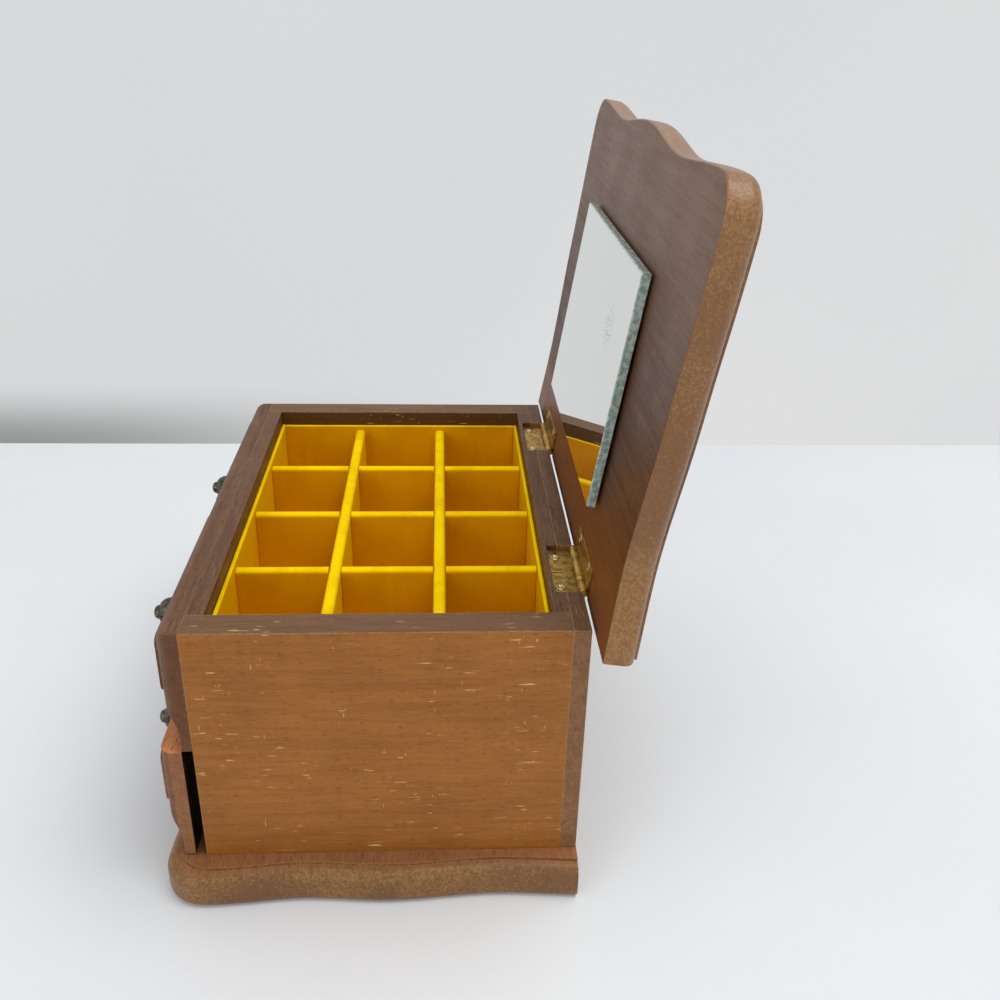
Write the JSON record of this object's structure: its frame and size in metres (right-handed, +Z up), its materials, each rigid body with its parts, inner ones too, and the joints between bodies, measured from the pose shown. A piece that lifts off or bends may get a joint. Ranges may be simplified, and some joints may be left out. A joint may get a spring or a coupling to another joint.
{
  "type": "vanity box with mirror",
  "caption": "Wooden vanity box: hinged lid with a mirror inside, velvet tray of small compartments, false upper front, sliding drawer and a moulded wavy plinth",
  "frame": {"origin": "centre of the flat underside of the plinth", "axes": "+Z up, -Y out of the drawer front, +X to the right as seen from the front"},
  "size_m": [0.2872, 0.2377, 0.3129],
  "materials": {
    "side_wood": "orange-brown lacquered wood with fine level grain, small pale nicks",
    "case_wood": "dull dark brown stained wood, open grain, worn edges",
    "plinth_wood": "dark brown stained wood, moulded edge worn to tan",
    "lid_wood": "dark brown stained wood, satin, moulded edge worn to tan",
    "drawer_wood": "reddish brown stained wood, less faded than the case",
    "inner_wood": "plain unvarnished wood",
    "velvet": "golden yellow flock velvet",
    "hinge_brass": "aged brass, dull and speckled",
    "knob_bronze": "dark antique bronze",
    "screw_steel": "plain steel",
    "mirror_glass": "silvered plate glass with a ground green edge",
    "foam_pads": "dark adhesive foam"
  },
  "bodies": {
    "case": {"left_side_board": "side_wood", "right_side_board": "side_wood", "back_board": "case_wood", "back_rail": "case_wood", "front_rail": "case_wood", "upper_front": "case_wood", "upper_left_panel": "case_wood", "upper_right_panel": "case_wood", "base_plate": "plinth_wood", "tray_shelf": "inner_wood", "tray_floor": "velvet", "tray_front_lining": "velvet", "tray_back_lining": "velvet", "tray_left_lining": "velvet", "tray_right_lining": "velvet", "long_divider_1": "velvet", "long_divider_2": "velvet", "cross_divider_1": "velvet", "cross_divider_2": "velvet", "cross_divider_3": "velvet", "left_hinge_box_leaf": "hinge_brass", "right_hinge_box_leaf": "hinge_brass", "left_hinge_pin": "hinge_brass", "right_hinge_pin": "hinge_brass", "box_leaf_screws": "hinge_brass", "upper_left_knob": "knob_bronze", "upper_left_rosette": "knob_bronze", "upper_right_knob": "knob_bronze", "upper_right_rosette": "knob_bronze", "upper_knob_screws": "screw_steel"},
    "lid": {"lid_panel": "lid_wood", "mirror_glass": "mirror_glass", "mirror_pads": "foam_pads", "left_hinge_lid_leaf": "hinge_brass", "right_hinge_lid_leaf": "hinge_brass", "lid_leaf_screws": "hinge_brass"},
    "drawer": {"drawer_front": "drawer_wood", "drawer_left_panel": "drawer_wood", "drawer_right_panel": "drawer_wood", "drawer_left_side": "inner_wood", "drawer_right_side": "inner_wood", "drawer_back": "inner_wood", "drawer_bottom": "inner_wood", "drawer_lining": "velvet", "drawer_left_knob": "knob_bronze", "drawer_left_rosette": "knob_bronze", "drawer_right_knob": "knob_bronze", "drawer_right_rosette": "knob_bronze", "drawer_knob_screws": "screw_steel"}
  },
  "joints": [
    {"name": "lid_hinge", "type": "hinge", "parent": "case", "child": "lid", "pos_m": [0, 0.0911, 0.1325], "axis": [1, 0, 0], "range_deg": [0, 98.7]},
    {"name": "drawer_slide", "type": "slide", "parent": "case", "child": "drawer", "axis": [0, -1, 0], "range_m": [-0.0045, 0.1]}
  ]
}
